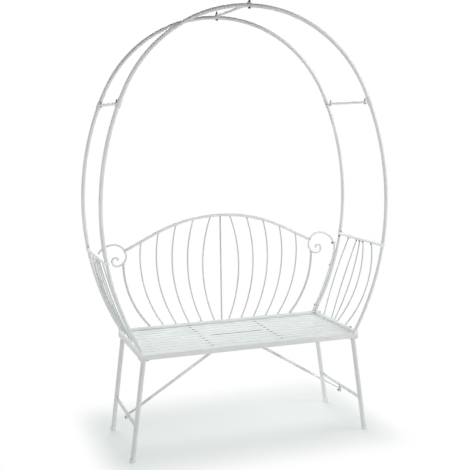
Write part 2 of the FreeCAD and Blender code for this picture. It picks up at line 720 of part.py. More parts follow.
# Arch: side tubes, top tubes, the sockets that join them and the spigots inside the other joints
def make_arch():
    screw_axis = arch_point(spigot_screw_place, rail_y)
    screw_seat = screw_axis - Y * (arch_diameter / 2)
    apex = Vector(0, rail_y, arch_height)

    side_tube = arch_bar(along_arch(arm_height) - arch_diameter, socket_middle - joint_gap / 2,
                         arch_diameter, arch_wall)
    side_tube = between_heights(side_tube, arm_height, arch_height)
    side_tube = drill(side_tube, screw_seat - Y, screw_axis, SMALL_BOLT)
    top_tube = arch_bar(socket_middle + joint_gap / 2, arch_run - joint_gap / 2, arch_diameter, arch_wall)
    top_tube = drill(top_tube, apex - Z * arch_diameter, apex + Z * arch_diameter, BOLT)
    names = ("rear_right", "rear_left", "front_right", "front_left")
    for name, side_piece, top_piece in zip(names, four_corners(side_tube), four_corners(top_tube)):
        nodes["arch_" + name + "_side_tube"] = side_piece
        nodes["arch_" + name + "_top_tube"] = top_piece

    bore = arch_diameter - 2 * arch_wall - 2 * spigot_clearance
    arm_spigot = arch_bar(along_arch(arm_height) - arch_diameter,
                          along_arch(arm_height) + spigot_length, bore)
    arm_spigot = between_heights(arm_spigot, arm_height, arch_height)
    arm_spigot = drill(arm_spigot, screw_seat, screw_axis, SMALL_BOLT)
    half_apex = arch_bar(arch_run - spigot_length, arch_run, bore)
    apex_spigot = fused([half_apex, mirrored(half_apex)])
    apex_spigot = drill(apex_spigot, apex - Z * arch_diameter, apex + Z * arch_diameter, BOLT)
    nodes["arch_spigots"] = group(four_corners(arm_spigot) + [apex_spigot, mirrored(apex_spigot, Y)])

    head = rod(screw_seat, screw_seat - Y * screw_head_height, screw_head_diameter)
    shank = rod(screw_seat - Y, screw_axis - Y * thread_end, SMALL_BOLT["shank"])
    nodes["spigot_screws"] = group(four_corners(fused([head, shank])))


# Shoulder sockets: a short sleeve over the joint of the arch, with a lug that carries the tie
tie_bolt_y = rail_y - tie_bolt_inset
shoulder_x = arch_point(socket_middle).x
lug_top = shoulder_height - tie_pad_thickness / 2


def make_sockets():
    start, end = socket_middle - socket_length / 2, socket_middle + socket_length / 2
    sleeve = arch_bar(start, end, socket_diameter)
    bore = arch_bar(start - socket_length, end + socket_length, arch_diameter + 2 * socket_clearance)
    half = lug_width / 2
    lug = box(shoulder_x - half, shoulder_x + half, tie_bolt_y, rail_y, lug_top - lug_thickness, lug_top)
    tip = Part.makeCylinder(half, lug_thickness, Vector(shoulder_x, tie_bolt_y, lug_top - lug_thickness))
    socket = fused([sleeve, lug, tip]).cut(bore)
    bolt_foot = Vector(shoulder_x, tie_bolt_y, lug_top - lug_thickness)
    socket = drill(socket, bolt_foot - Z, bolt_foot + Z * (lug_thickness + 1), BOLT)
    nodes["arch_sockets"] = group(four_corners(socket.Solids[0]))


# Ties: round bars from the front arch to the rear arch, pressed flat and drilled at both ends
def make_tie(x, axis_height, pad_height, bolt_y):
    half, flat_start = tie_pad_width / 2, bolt_y - tie_flat_run
    bar_end = Vector(x, flat_start - tie_taper_run, axis_height)
    flat = Vector(x, flat_start, pad_height + tie_pad_thickness / 2)
    sizes = (tie_diameter, tie_pad_width, tie_pad_thickness)
    ends = [pressed_taper(bar_end, flat, X, Z, sizes),
            box(x - half, x + half, flat_start, bolt_y, pad_height, pad_height + tie_pad_thickness),
            Part.makeCylinder(half, tie_pad_thickness, Vector(x, bolt_y, pad_height))]
    bar = rod(Vector(x, -bar_end.y, axis_height), bar_end, tie_diameter)
    tie = fused([bar] + ends + [mirrored(piece, Y) for piece in ends])
    for y in (bolt_y, -bolt_y):
        tie = drill(tie, Vector(x, y, pad_height - 1), Vector(x, y, pad_height + tie_pad_thickness + 1), BOLT)
    return tie


def make_ties():
    tie = make_tie(shoulder_x, shoulder_height, lug_top, tie_bolt_y)
    nodes["right_shoulder_tie"] = tie
    nodes["left_shoulder_tie"] = mirrored(tie)
    apex_pad = arch_height + arch_diameter / 2 + weld_gap
    apex_axis = apex_pad + tie_pad_thickness - tie_diameter / 2
    nodes["apex_tie"] = make_tie(0, apex_axis, apex_pad, rail_y)

    seat = Vector(shoulder_x, tie_bolt_y, lug_top - lug_thickness)
    grip = lug_thickness + tie_pad_thickness
    apex_seat = Vector(0, rail_y, arch_height - arch_diameter / 2 - weld_gap)
    apex_grip = arch_diameter + 2 * weld_gap + tie_pad_thickness
    apex_bolt = bolt(apex_seat, Z, apex_grip, BOLT, arch_thread_end)
    apex_nut = nut(apex_seat + Z * apex_grip, Z, BOLT)
    bolts = four_corners(bolt(seat, Z, grip, BOLT, arch_thread_end))
    nodes["arch_bolts"] = group(bolts + [apex_bolt, mirrored(apex_bolt, Y)])
    return four_corners(nut(seat + Z * grip, Z, BOLT)) + [apex_nut, mirrored(apex_nut, Y)]


make_seat()
make_bracket()
make_legs()
make_stretchers()
brace_nuts = make_braces()
arm_nuts = make_arms()
make_back()
make_back_bolts()
make_arch()
make_sockets()
arch_nuts = make_ties()
nodes["hex_nuts"] = group(brace_nuts + arm_nuts + arch_nuts)

os.makedirs("parts", exist_ok=True)
for name, shape in nodes.items():
    shape.exportStep("parts/" + name + ".step")
print(len(nodes), "nodes")
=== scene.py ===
import bpy
import math
import random
import numpy as np
from mathutils import Matrix, Vector


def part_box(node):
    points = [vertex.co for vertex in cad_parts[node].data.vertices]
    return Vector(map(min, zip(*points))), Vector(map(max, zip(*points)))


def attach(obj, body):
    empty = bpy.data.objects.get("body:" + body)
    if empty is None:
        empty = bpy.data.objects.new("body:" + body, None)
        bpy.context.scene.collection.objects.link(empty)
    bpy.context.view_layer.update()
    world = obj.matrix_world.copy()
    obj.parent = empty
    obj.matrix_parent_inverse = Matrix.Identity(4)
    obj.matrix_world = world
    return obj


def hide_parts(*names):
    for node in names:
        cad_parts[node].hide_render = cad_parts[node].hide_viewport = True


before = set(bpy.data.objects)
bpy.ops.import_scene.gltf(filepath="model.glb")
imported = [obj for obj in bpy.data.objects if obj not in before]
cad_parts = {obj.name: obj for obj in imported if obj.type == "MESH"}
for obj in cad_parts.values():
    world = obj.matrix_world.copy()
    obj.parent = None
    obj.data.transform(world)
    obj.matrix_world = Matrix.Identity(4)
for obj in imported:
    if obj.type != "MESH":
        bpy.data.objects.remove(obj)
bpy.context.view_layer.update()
bpy.ops.object.select_all(action="DESELECT")

# Seat frame
# Four rails of rectangular steel tube, butted and welded at the corners. The seams on top are ground
# flush, the others stay as low beads. The whole frame wears one layer of pale powder coat, baked on.
MM = 0.001
MIRROR_X = Matrix.Scale(-1, 4, (1, 0, 0))
MIRROR_Y = Matrix.Scale(-1, 4, (0, 1, 0))
wander = random.Random(11)


def feed(tree, socket, value):
    """Gives a socket a number or a colour, or joins it to the output that makes its value."""
    if isinstance(value, bpy.types.NodeSocket):
        tree.links.new(value, socket)
    else:
        socket.default_value = value


def add(tree, kind, settings=None, **sockets):
    """A new node with its settings made first and then its sockets fed by name."""
    node = tree.nodes.new("ShaderNode" + kind)
    for name, value in (settings or {}).items():
        setattr(node, name, value)
    for name, value in sockets.items():
        feed(tree, node.inputs[name.replace("_", " ")], value)
    return node


def two_tone(tree, fac, low, high):
    """A ramp from one colour to another between two points of a pattern, each given as (place, colour)."""
    ramp = add(tree, "ValToRGB", Fac=fac)
    for stop, (place, colour) in zip(ramp.color_ramp.elements, (low, high)):
        stop.position = place
        stop.color = (*colour, 1)
    return ramp.outputs["Color"]


def coated(name, thick, thin, worn, gloss, shine=0.35, metal=0.0):
    """A coat on metal: cloudy where the film is thicker, duller on rubbed edges, with a fine skin."""
    coat = bpy.data.materials.new(name)
    coat.use_nodes = True
    tree = coat.node_tree
    shader = tree.nodes["Principled BSDF"]
    place = add(tree, "TexCoord").outputs["Object"]
    clouds = add(tree, "TexNoise", Vector=place, Scale=9.0, Detail=4.0, Roughness=0.6).outputs["Fac"]
    film = two_tone(tree, clouds, (0.34, thin), (0.66, thick))
    edges = add(tree, "NewGeometry").outputs["Pointiness"]
    rub = add(tree, "MapRange", Value=edges, From_Min=0.56, From_Max=0.68, To_Max=0.55)
    wear = add(tree, "Mix", {"data_type": "RGBA"}, Factor=rub.outputs["Result"], A=film, B=(*worn, 1))
    specks = add(tree, "TexVoronoi", Vector=place, Scale=90.0).outputs["Distance"]
    grit = add(tree, "MapRange", Value=specks, From_Min=0.05, From_Max=0.09, To_Min=0.5, To_Max=0.0)
    dusty = add(tree, "Mix", {"data_type": "RGBA"}, Factor=grit.outputs["Result"],
                A=wear.outputs["Result"], B=(*worn, 1))
    skin = add(tree, "TexNoise", Vector=place, Scale=650.0, Detail=2.0).outputs["Fac"]
    peel = add(tree, "Bump", Strength=0.12, Distance=0.0004, Height=skin)
    sheen = add(tree, "MapRange", Value=clouds, To_Min=gloss, To_Max=gloss + 0.12)
    feed(tree, shader.inputs["Base Color"], dusty.outputs["Result"])
    feed(tree, shader.inputs["Normal"], peel.outputs["Normal"])
    feed(tree, shader.inputs["Roughness"], sheen.outputs["Result"])
    shader.inputs["Specular IOR Level"].default_value = shine
    shader.inputs["Metallic"].default_value = metal
    return coat


frame_coat = coated("frame_powder_coat", (0.835, 0.85, 0.845), (0.765, 0.785, 0.78), (0.66, 0.68, 0.675),
                    0.36)


def finish(piece, name, coat, slot, *stands_for):
    """Names a finished piece, gives it its coat and hides the pieces of the frame it stands for."""
    piece.name = name
    piece.data.name = name
    piece.data.materials.clear()
    piece.data.materials.append(coat)
    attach(piece, "root")
    if stands_for:
        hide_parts(*stands_for)
    bpy.ops.object.select_all(action="DESELECT")


def pick(piece, kind, rule):
    """Selects the vertices, edges or faces that a rule names and leaves the piece in edit mode."""
    bpy.ops.object.mode_set(mode="EDIT")
    bpy.ops.mesh.select_mode(type=kind)
    bpy.ops.mesh.select_all(action="DESELECT")
    bpy.ops.object.mode_set(mode="OBJECT")
    mesh = piece.data
    for item in {"VERT": mesh.vertices, "EDGE": mesh.edges, "FACE": mesh.polygons}[kind]:
        item.select = rule(item)
    bpy.ops.object.mode_set(mode="EDIT")


def joined(pieces):
    """One object from several, each with its own mesh."""
    bpy.ops.object.select_all(action="DESELECT")
    for piece in pieces:
        piece.select_set(True)
    bpy.context.view_layer.objects.active = pieces[0]
    if len(pieces) > 1:
        bpy.ops.object.join()
    return pieces[0]


def copied(piece, move):
    """A copy with its own mesh, moved in the mesh."""
    twin = piece.copy()
    twin.data = piece.data.copy()
    twin.data.transform(move)
    if move.determinant() < 0:
        twin.data.flip_normals()
    bpy.context.collection.objects.link(twin)
    return twin


def four_corners(piece):
    """The piece and its mirror images at the other three corners of the seat."""
    return [piece, copied(piece, MIRROR_X), copied(piece, MIRROR_Y), copied(piece, MIRROR_X @ MIRROR_Y)]


def aimed(place, axis):
    """Moves a thing made upright at the origin to a place, with its top along an axis."""
    return Matrix.Translation(place) @ Vector(axis).to_track_quat("Z", "Y").to_matrix().to_4x4()


def rolled_bar(low, high, corner):
    """Bar or tube of rectangular section: long edges rounded by the rolls, ends just broken."""
    end_corner, hair = 0.4 * MM, 1e-6
    low, high = Vector(low), Vector(high)
    size = high - low
    bpy.ops.mesh.primitive_cube_add(size=1.0, location=(low + high) / 2, scale=size)
    bar = bpy.context.object
    bpy.ops.object.transform_apply(location=True, rotation=True, scale=True)
    along = max(range(3), key=lambda axis: size[axis])

    def runs_along(edge):
        first, last = (bar.data.vertices[k].co for k in edge.vertices)
        return abs(first[along] - last[along]) > hair

    def at_an_end(edge):
        reach = abs(bar.data.vertices[edge.vertices[0]].co[along] - (low + high)[along] / 2)
        return not runs_along(edge) and abs(reach - size[along] / 2) < hair

    pick(bar, "EDGE", runs_along)
    bpy.ops.mesh.bevel(offset=corner, segments=4, profile=0.5)
    pick(bar, "EDGE", at_an_end)
    bpy.ops.mesh.bevel(offset=end_corner, segments=1)
    bpy.ops.object.mode_set(mode="OBJECT")
    bpy.ops.object.shade_smooth_by_angle(angle=math.radians(40))
    return bar


def turned(profile, sides=32):
    """A round piece drawn up ring by ring through (radius, height) pairs."""
    radius, height = profile[0]
    bpy.ops.mesh.primitive_circle_add(vertices=sides, radius=radius, fill_type="NGON",
                                      location=(0, 0, height))
    piece = bpy.context.object
    bpy.ops.object.transform_apply(location=True, rotation=True, scale=True)
    pick(piece, "FACE", lambda face: True)
    for (r0, z0), (r1, z1) in zip(profile, profile[1:]):
        bpy.ops.mesh.extrude_region_move(TRANSFORM_OT_translate={"value": (0, 0, z1 - z0)})
        bpy.ops.transform.resize(value=(r1 / r0, r1 / r0, 1), center_override=(0, 0, z1))
    bpy.ops.mesh.select_all(action="SELECT")
    bpy.ops.mesh.normals_make_consistent(inside=False)
    bpy.ops.object.mode_set(mode="OBJECT")
    return piece


def weld_line(start, end, radius):
    """A straight run of weld between two points, with the ripples of the torch."""
    start, end = Vector(start), Vector(end)
    length = (end - start).length
    tip, hollow, pitch = radius * 0.4, radius * 0.84, radius * 1.3
    ripples = max(3, round(length / pitch))
    rings = [(tip, 0.0)]
    for k in range(ripples):
        rings += [(radius, length * (k + 0.35) / ripples), (hollow, length * (k + 0.8) / ripples)]
    line = turned(rings + [(tip, length)], sides=8)
    bpy.ops.object.mode_set(mode="EDIT")
    bpy.ops.mesh.select_all(action="SELECT")
    bpy.ops.transform.vertex_random(offset=radius * 0.08, seed=wander.randrange(1000))
    bpy.ops.object.mode_set(mode="OBJECT")
    bpy.ops.object.shade_smooth()
    line.data.transform(aimed(start, end - start))
    return line


rail_corner = 2.6 * MM
for side in ("front", "rear", "right", "left"):
    node = "seat_" + side + "_rail"
    finish(rolled_bar(*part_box(node), rail_corner), node + "_tube", frame_coat, "powder_coat", node)

rail_low, rail_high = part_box("seat_right_rail")
long_rail_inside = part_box("seat_rear_rail")[0][1]
low_bead, full_bead = 0.9 * MM, 1.7 * MM
outer_x, under_z = rail_high[0] - 0.4 * MM, rail_low[2] + 0.5 * MM
outer_seam = weld_line((outer_x, long_rail_inside, rail_low[2] + 2.5 * MM),
                       (outer_x, long_rail_inside, rail_high[2] - 2.5 * MM), low_bead)
inner_seam = weld_line((rail_low[0], long_rail_inside, rail_low[2] + 1.5 * MM),
                       (rail_low[0], long_rail_inside, rail_high[2] - 5 * MM), full_bead)
under_seam = weld_line((rail_low[0] + 2 * MM, long_rail_inside, under_z),
                       (rail_high[0] - 2.5 * MM, long_rail_inside, under_z), low_bead)
corner_seams = [copy for seam in (outer_seam, inner_seam, under_seam) for copy in four_corners(seam)]
finish(joined(corner_seams), "seat_corner_welds", frame_coat, "powder_coat")

# Slats and cross bars
# Ten flat bars with rolled edges lie along the seat, flush with the rails. Two flat cross bars run under
# them from front to back. Every crossing is tacked. In the gaps over the cross bars dark tacks paint the
# shade under the slats, and the slats wear a paler copy of the coat that paints the light on them.
# The slats wear a paler, greener copy of the frame's coat, which paints the light on them.
slat_painted_light_coat = coated("slat_powder_coat_painted_light", (0.875, 0.925, 0.907), (0.82, 0.868, 0.852), (0.70, 0.73, 0.72), 0.34)
# Near black, for the marks that paint the shade under the seat and for the dark spots on the right arm.
painted_shade_and_spot_coat = coated("painted_shade_and_spot_coat", (0.07, 0.072, 0.07), (0.035, 0.036, 0.035), (0.16, 0.16, 0.155), 0.55, 0.2)
slat_low, slat_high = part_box("seat_slats")
slat_width, slat_pitch, slat_count = 32.4 * MM, 40.4 * MM, 10
slat_corner, cross_bar_corner = 0.9 * MM, 1.0 * MM
first_slat = rolled_bar(slat_low, (slat_high[0], slat_low[1] + slat_width, slat_high[2]), slat_corner)
slats = [first_slat] + [copied(first_slat, Matrix.Translation((0, k * slat_pitch, 0)))
                        for k in range(1, slat_count)]
finish(joined(slats), "slats", slat_painted_light_coat, "powder_coat", "seat_slats")

for side in ("right", "left"):
    node = "seat_" + side + "_cross_bar"
    bar = rolled_bar(*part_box(node), cross_bar_corner)
    finish(bar, side + "_cross_bar_flat", frame_coat, "powder_coat", node)


def weld_tack(length, width, height):
    """A small mound of weld metal, a little uneven."""
    bpy.ops.mesh.primitive_uv_sphere_add(segments=10, ring_count=6, radius=1.0, scale=(length, width, height))
    tack = bpy.context.object
    bpy.ops.object.transform_apply(location=True, rotation=True, scale=True)
    bpy.ops.object.mode_set(mode="EDIT")
    bpy.ops.transform.vertex_random(offset=min(length, width, height) * 0.12, seed=wander.randrange(1000))
    bpy.ops.object.mode_set(mode="OBJECT")
    bpy.ops.object.shade_smooth()
    return tack


under_tack = weld_tack(length=2.2 * MM, width=1.8 * MM, height=1.6 * MM)
# Dark tacks in the gaps over the cross bars paint the shade under the slats seen through the gaps.
gap_shade_tack = weld_tack(length=8.5 * MM, width=4.1 * MM, height=3.3 * MM)
end_tack_shift = 9 * MM
tacks = []
painted_shade_tacks = []
for node in ("seat_right_cross_bar", "seat_left_cross_bar"):
    low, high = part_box(node)
    for k in range(slat_count):
        y = slat_low[1] + slat_width / 2 + k * slat_pitch
        for x in (low[0], high[0]):
            turn = Matrix.Rotation(wander.uniform(0, 3), 4, "Z")
            spot = Vector((x, y + wander.uniform(-4, 4) * MM, slat_low[2]))
            tacks.append(copied(under_tack, Matrix.Translation(spot) @ turn))
        if k < slat_count - 1:
            spot = Vector((low[0] + wander.uniform(-1, 1) * MM, y + slat_pitch / 2, slat_low[2]))
            painted_shade_tacks.append(copied(gap_shade_tack, Matrix.Translation(spot)))
for k in range(slat_count):
    y = slat_low[1] + slat_width / 2 + k * slat_pitch
    for x in (slat_low[0], slat_high[0]):
        for shift in (-end_tack_shift, end_tack_shift):
            tacks.append(copied(under_tack, Matrix.Translation((x, y + shift, slat_low[2]))))
bpy.data.objects.remove(gap_shade_tack)
finish(joined(tacks), "slat_tacks", frame_coat, "powder_coat")

# Bracket
# One flat bar bent like a hat and welded under the middle slats. Its web takes the two bolts that hold
# the upper ends of the braces. Over it one long dark bead in the middle gap paints the shade under the slats.


def merged(node):
    """A copy of a piece of the frame with its corners merged, left in edit mode with all of it selected."""
    bpy.ops.object.select_all(action="DESELECT")
    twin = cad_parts[node].copy()
    twin.data = twin.data.copy()
    bpy.context.collection.objects.link(twin)
    twin.hide_viewport = False
    twin.hide_render = False
    twin.hide_set(False)
    twin.select_set(True)
    bpy.context.view_layer.objects.active = twin
    bpy.ops.object.mode_set(mode="EDIT")
    bpy.ops.mesh.select_all(action="SELECT")
    bpy.ops.mesh.remove_doubles(threshold=0.002 * MM)
    return twin


def softened(node, name, coat, width=0.6 * MM):
    """A piece of the frame again, with its cut edges rounded as tumbling or grinding leaves them."""
    twin = merged(node)
    bpy.ops.mesh.dissolve_limited(angle_limit=math.radians(1))
    bpy.ops.object.mode_set(mode="OBJECT")
    edges = twin.modifiers.new("edges", "BEVEL")
    edges.width = width
    edges.segments = 2
    edges.limit_method = "ANGLE"
    edges.angle_limit = math.radians(40)
    edges.use_clamp_overlap = False
    bpy.ops.object.modifier_apply(modifier="edges")
    bpy.ops.object.shade_smooth_by_angle(angle=math.radians(35))
    finish(twin, name, coat, "powder_coat", node)


softened("brace_bracket", "brace_bracket_bent", frame_coat)
bracket_low, bracket_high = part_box("brace_bracket")
bracket_tacks = []
for inset in (3 * MM, 22 * MM):
    for x in (bracket_low[0] + inset, bracket_high[0] - inset):
        for y in (bracket_low[1], bracket_high[1]):
            bracket_tacks.append(copied(under_tack, Matrix.Translation((x, y, bracket_high[2]))))
bpy.data.objects.remove(under_tack)
finish(joined(bracket_tacks), "bracket_tacks", frame_coat, "powder_coat")
# One long dark bead in the middle gap over the bracket paints the shade under the slats.
shade_bead_reach, shade_bead_y, shade_bead_z, shade_bead_radius = 118 * MM, 2.3 * MM, slat_low[2] + 0.7 * MM, 1.75 * MM
painted_shade_tacks.append(weld_line((-shade_bead_reach, shade_bead_y, shade_bead_z), (shade_bead_reach, shade_bead_y, shade_bead_z), shade_bead_radius))
finish(joined(painted_shade_tacks), "painted_shade_tacks", painted_shade_and_spot_coat, "powder_coat")

# Legs
# Two end frames of round tube. A plate is welded on each leg top and screwed up into the rails, a
# stretcher runs low between the legs, and a drilled tab hangs under its middle.


def keep(coat, *names):
    """Coats pieces of the frame whose shape is right as it is."""
    for name in names:
        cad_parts[name].data.materials.clear()
        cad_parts[name].data.materials.append(coat)


keep(frame_coat, "right_rear_leg", "left_rear_leg", "right_front_leg", "left_front_leg", "right_stretcher",
     "left_stretcher")
softened("leg_plates", "leg_plates_cut", frame_coat)
softened("brace_tabs", "brace_tabs_cut", frame_coat, width=0.4 * MM)


def weld_ring(bar_radius, bead):
    """A bead of weld round a bar, with the ripples of the torch."""
    steps = 24
    bpy.ops.mesh.primitive_torus_add(major_segments=steps, minor_segments=8,
                                     major_radius=bar_radius + bead * 0.25, minor_radius=bead)
    ring = bpy.context.object

    def on_ripple(vertex):
        turn = math.atan2(vertex.co.y, vertex.co.x) / (2 * math.pi) * steps
        return round(turn) % 3 == 0

    pick(ring, "VERT", on_ripple)
    bpy.ops.transform.shrink_fatten(value=-bead * 0.22)
    bpy.ops.mesh.select_all(action="SELECT")
    bpy.ops.transform.vertex_random(offset=bead * 0.10, seed=wander.randrange(1000))
    bpy.ops.object.mode_set(mode="OBJECT")
    bpy.ops.object.shade_smooth()
    return ring


LEG_X, LEG_Y, LEG_TOP, LEG_LEAN, STRETCHER_Z = 464.0, 199.0, 417.0, 57.0, 145.0
LEG_RADIUS, STRETCHER_RADIUS = 10.0 * MM, 7.0 * MM


def leg_centre(height):
    """Axis of the right rear leg at a height in millimetres; the legs lean out to the sides."""
    return Vector((LEG_X + LEG_LEAN * (LEG_TOP - height) / LEG_TOP, LEG_Y, height)) * MM


leg_ring = weld_ring(LEG_RADIUS, bead=1.7 * MM)
leg_ring.data.transform(aimed(leg_centre(LEG_TOP - 0.8), (0, 0, 1)))
side_ring = weld_ring(STRETCHER_RADIUS, bead=1.5 * MM)
side_ring.data.transform(aimed(leg_centre(STRETCHER_Z) - Vector((0, LEG_RADIUS, 0)), (0, 1, 0)))
seams = four_corners(leg_ring) + four_corners(side_ring)
tab_half, tab_top, tab_bead = 8.5 * MM, 138.0 * MM, 1.2 * MM
for way in (-1, 1):
    x = leg_centre(STRETCHER_Z).x + way * 1.6 * MM
    tab_seam = weld_line((x, -tab_half, tab_top), (x, tab_half, tab_top), tab_bead)
    seams += [tab_seam, copied(tab_seam, MIRROR_X)]
finish(joined(seams), "leg_welds", frame_coat, "powder_coat")

# Foot caps
# Moulded in pale plastic and pushed on the leg ends. Each is a little barrel with a rounded sole, a
# groove where the mould parts, and a lip round the leg.
foot_plastic = coated("foot_plastic", (0.86, 0.87, 0.865), (0.82, 0.83, 0.825), (0.66, 0.66, 0.64), 0.30, 0.5)
cap_profile = [(10.2, 0.0), (11.9, 0.4), (12.8, 1.3), (13.3, 2.8), (13.5, 5.0), (13.5, 7.4), (13.2, 7.7),
               (13.2, 8.1), (13.5, 8.4), (13.4, 10.5), (13.0, 12.6), (12.4, 14.3), (11.7, 15.4), (11.0, 15.9),
               (10.6, 15.7)]
cap = turned([(radius * MM, height * MM) for radius, height in cap_profile])
bpy.ops.object.shade_smooth_by_angle(angle=math.radians(50))
sole = leg_centre(3.0)
cap.data.transform(Matrix.Translation((sole.x, sole.y, 0)))
finish(joined(four_corners(cap)), "foot_cap_mouldings", foot_plastic, "foot_plastic", "foot_caps")

# Braces
# Two round bars from the tabs up to the bracket, pressed flat, bent and drilled at both ends. Their coat
# is thin and dull in patches.
brace_coat = coated("brace_powder_coat", (0.93, 0.93, 0.92), (0.55, 0.55, 0.545), (0.66, 0.66, 0.65), 0.36)
softened("right_brace", "right_brace_pressed", brace_coat)
softened("left_brace", "left_brace_pressed", brace_coat)

# Arms
# Two side panels. A square base bar is bolted on the side rail, posts and thin bowed rods stand on it
# and carry the arm bar. All of it is welded. On the right arm dark spots sit on the inner side of the
# tops of the rods and of the rear post.
# The rods wear greyer copies of the coat, the left arm's greyest: painted shade.
rod_painted_shade_coat = coated("rod_powder_coat_painted_shade", (0.72, 0.72, 0.71), (0.65, 0.65, 0.64), (0.56, 0.56, 0.55), 0.40)
# The bars wear a paler copy of the coat with a little metallic shine, which paints light on them.
bar_painted_light_coat = coated("bar_powder_coat_painted_light", (0.90, 0.935, 0.92), (0.86, 0.895, 0.88), (0.74, 0.76, 0.755),
                  0.36, 0.5, 0.15)
for side in ("right", "left"):
    for piece, corner in (("arm_base_bar", 2.2 * MM), ("arm_bar", 2.4 * MM)):
        node = side + "_" + piece
        finish(rolled_bar(*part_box(node), corner), node + "_tube", bar_painted_light_coat, "powder_coat", node)
    keep(frame_coat, side + "_arm_front_post", side + "_arm_rear_post")


def solids_of(node):
    """The corners of each separate solid in a piece of the frame, read from a merged copy."""
    merged(node)
    bpy.ops.mesh.separate(type="LOOSE")
    bpy.ops.object.mode_set(mode="OBJECT")
    solids = []
    for part in list(bpy.context.selected_objects):
        solids.append(np.array([corner.co[:] for corner in part.data.vertices]))
        bpy.data.objects.remove(part)
    return solids


def slimmed(node, name, coat, by):
    """A piece of the frame again, a little thinner all round, as drawn bar is under its nominal size."""
    twin = merged(node)
    bpy.ops.transform.shrink_fatten(value=-by)
    bpy.ops.object.mode_set(mode="OBJECT")
    bpy.ops.object.shade_smooth_by_angle(angle=math.radians(40))
    finish(twin, name, coat, "powder_coat", node)


def bar_ends(corners):
    """Foot, top and the direction at the top of a bar that stands up."""
    foot_slice, top_slice, run_start, run_end = 0.3 * MM, 3.0 * MM, 6.0 * MM, 90.0 * MM
    heights = corners[:, 2]
    from_top = heights.max() - heights
    foot = corners[heights < heights.min() + foot_slice].mean(axis=0)
    top = corners[from_top < top_slice].mean(axis=0)
    below = corners[(from_top > run_start) & (from_top < run_end)]
    start = below.mean(axis=0) if len(below) else foot
    return Vector(foot), Vector(top), Vector(top - start).normalized()


# A still greyer copy of the coat for the rods of the left arm: painted shade.
left_rod_painted_shade_coat = coated("left_rod_powder_coat_painted_shade", (0.64, 0.675, 0.665), (0.57, 0.605, 0.595),
                       (0.56, 0.56, 0.55), 0.40)
slimmed("right_arm_rods", "right_arm_rods_drawn", rod_painted_shade_coat, by=0.5 * MM)
slimmed("left_arm_rods", "left_arm_rods_drawn", left_rod_painted_shade_coat, by=0.95 * MM)
ROD_RADIUS, POST_RADIUS = 3.5 * MM, 7.0 * MM
rod_ring = weld_ring(ROD_RADIUS, bead=1.25 * MM)
post_ring = weld_ring(POST_RADIUS, bead=1.6 * MM)
# Dark spots at the inner side of the tops of the right arm's rods and of its rear post.
arm_dark_spot = weld_tack(length=3.0 * MM, width=4.2 * MM, height=3.4 * MM)
seams = []
arm_dark_spots = []
for side in ("right", "left"):
    bars = [(corners, rod_ring) for corners in solids_of(side + "_arm_rods")]
    for post in (side + "_arm_front_post", side + "_arm_rear_post"):
        bars.append((solids_of(post)[0], post_ring))
    for corners, ring in bars:
        foot, top, _ = bar_ends(corners)
        head = Vector((top.x, top.y, corners[:, 2].max()))
        seams.append(copied(ring, aimed(foot, (0, 0, 1))))
        seams.append(copied(ring, aimed(head, (0, 0, -1))))
        if side == "right" and ring is rod_ring:
            spot = head - Vector((ROD_RADIUS, 0, 2.6 * MM))
            arm_dark_spots.append(copied(arm_dark_spot, Matrix.Translation(spot)))
        if side == "right" and ring is post_ring and head.y > 0:
            spot = head - Vector((0.8 * POST_RADIUS, 0.6 * POST_RADIUS, 4.0 * MM))
            arm_dark_spots.append(copied(arm_dark_spot, Matrix.Translation(spot) @ Matrix.Scale(1.3, 4)))
bpy.data.objects.remove(arm_dark_spot)
finish(joined(seams), "arm_welds", frame_coat, "powder_coat")
finish(joined(arm_dark_spots), "arm_inner_dark_spots", painted_shade_and_spot_coat, "powder_coat")

# Back
# A bottom rail of square tube, a bowed top rail of round tube, two uprights of round bar that end in
# scrolls, eleven thin rods and two thicker end rods, all welded into one panel.
# The bottom rail wears the bars' paler copy of the coat, painted light, and the rods and their welds the
# rods' greyer one, painted shade.
bottom_rail = rolled_bar(*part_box("back_bottom_rail"), 2.2 * MM)
finish(bottom_rail, "back_bottom_rail_tube", bar_painted_light_coat, "powder_coat", "back_bottom_rail")
keep(frame_coat, "back_top_rail")
keep(rod_painted_shade_coat, "back_end_rods")
slimmed("back_rods", "back_rods_drawn", rod_painted_shade_coat, by=0.25 * MM)
SCROLL_SLIMMER = 0.6 * MM
slimmed("right_scroll", "right_scroll_drawn", frame_coat, SCROLL_SLIMMER)
slimmed("left_scroll", "left_scroll_drawn", frame_coat, SCROLL_SLIMMER)

END_ROD_RADIUS = 5.0 * MM
end_ring = weld_ring(END_ROD_RADIUS, bead=1.4 * MM)
seams = []
for node, ring in (("back_rods", rod_ring), ("back_end_rods", end_ring)):
    for corners in solids_of(node):
        foot, top, way = bar_ends(corners)
        seams.append(copied(ring, aimed(foot, (0, 0, 1))))
        seams.append(copied(ring, aimed(top - way * 0.6 * MM, way)))
for side in ("right", "left"):
    foot, _, _ = bar_ends(solids_of(side + "_scroll")[0])
    seams.append(copied(end_ring, aimed(foot, (0, 0, 1))))
top_rail = solids_of("back_top_rail")[0]
for way in (-1, 1):
    reach = top_rail[:, 0] * way
    tip = top_rail[reach > reach.max() - 2.5 * MM].mean(axis=0)
    run = top_rail[reach > reach.max() - 60.0 * MM].mean(axis=0)
    seams.append(copied(post_ring, aimed(Vector(tip), Vector(tip - run))))
for ring in (rod_ring, post_ring, end_ring):
    bpy.data.objects.remove(ring)
finish(joined(seams), "back_welds", rod_painted_shade_coat, "powder_coat")

